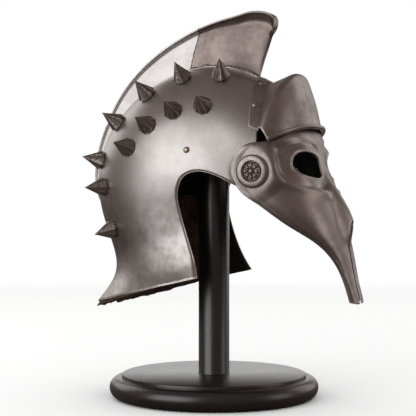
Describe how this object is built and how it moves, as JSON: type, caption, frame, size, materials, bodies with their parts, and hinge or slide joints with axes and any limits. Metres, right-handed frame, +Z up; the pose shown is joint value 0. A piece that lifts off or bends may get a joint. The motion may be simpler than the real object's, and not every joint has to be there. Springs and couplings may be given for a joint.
{
  "type": "gladiator helmet on display stand",
  "caption": "Steel gladiator helmet with a fin crest, spikes, neck guard and lifting visor, held on a black turned stand.",
  "frame": {"origin": "centre of the stand's foot, on the surface it stands on, straight below the post", "axes": "+X where the helmet faces, +Y to the wearer's left, +Z up along the post"},
  "size_m": [0.368, 0.271, 0.4959],
  "materials": {
    "aged_steel": "satin, aged, hand raised",
    "polished_steel": "brushed bright",
    "cast_steel": "dark cast, worn at the edges",
    "brass": "dulled",
    "leather": "dark, rough",
    "black_lacquer": "satin black lacquer"
  },
  "bodies": {
    "helmet": {"skull": "aged_steel", "neck_lining": "leather", "crest_blade": "polished_steel", "crest_prow": "cast_steel", "brow_plate": "aged_steel", "pivot_bolt_l": "cast_steel", "pivot_bolt_r": "cast_steel", "spike_upper_1_l": "cast_steel", "spike_upper_1_r": "cast_steel", "spike_upper_2_l": "cast_steel", "spike_upper_2_r": "cast_steel", "spike_upper_3_l": "cast_steel", "spike_upper_3_r": "cast_steel", "spike_upper_4_l": "cast_steel", "spike_upper_4_r": "cast_steel", "spike_upper_5_l": "cast_steel", "spike_upper_5_r": "cast_steel", "spike_lower_1_l": "cast_steel", "spike_lower_1_r": "cast_steel", "spike_lower_2_l": "cast_steel", "spike_lower_2_r": "cast_steel", "spike_lower_3_l": "cast_steel", "spike_lower_3_r": "cast_steel", "spike_lower_4_l": "cast_steel", "spike_lower_4_r": "cast_steel", "spike_neck_1_l": "cast_steel", "spike_neck_1_r": "cast_steel", "spike_neck_2_l": "cast_steel", "spike_neck_2_r": "cast_steel", "ear_rivet_l": "brass", "ear_rivet_r": "brass", "brow_rivet_1_l": "aged_steel", "brow_rivet_1_r": "aged_steel", "brow_rivet_2_l": "aged_steel", "brow_rivet_2_r": "aged_steel", "stand_base": "black_lacquer", "stand_post": "black_lacquer", "stand_cap": "black_lacquer"},
    "visor": {"visor": "aged_steel", "pivot_boss_l": "aged_steel", "pivot_boss_r": "aged_steel"}
  },
  "joints": [
    {"name": "visor_pivot", "type": "hinge", "parent": "helmet", "child": "visor", "pos_m": [0.085, 0, 0.29], "axis": [0, -1, 0], "range_deg": [0, 24]}
  ]
}
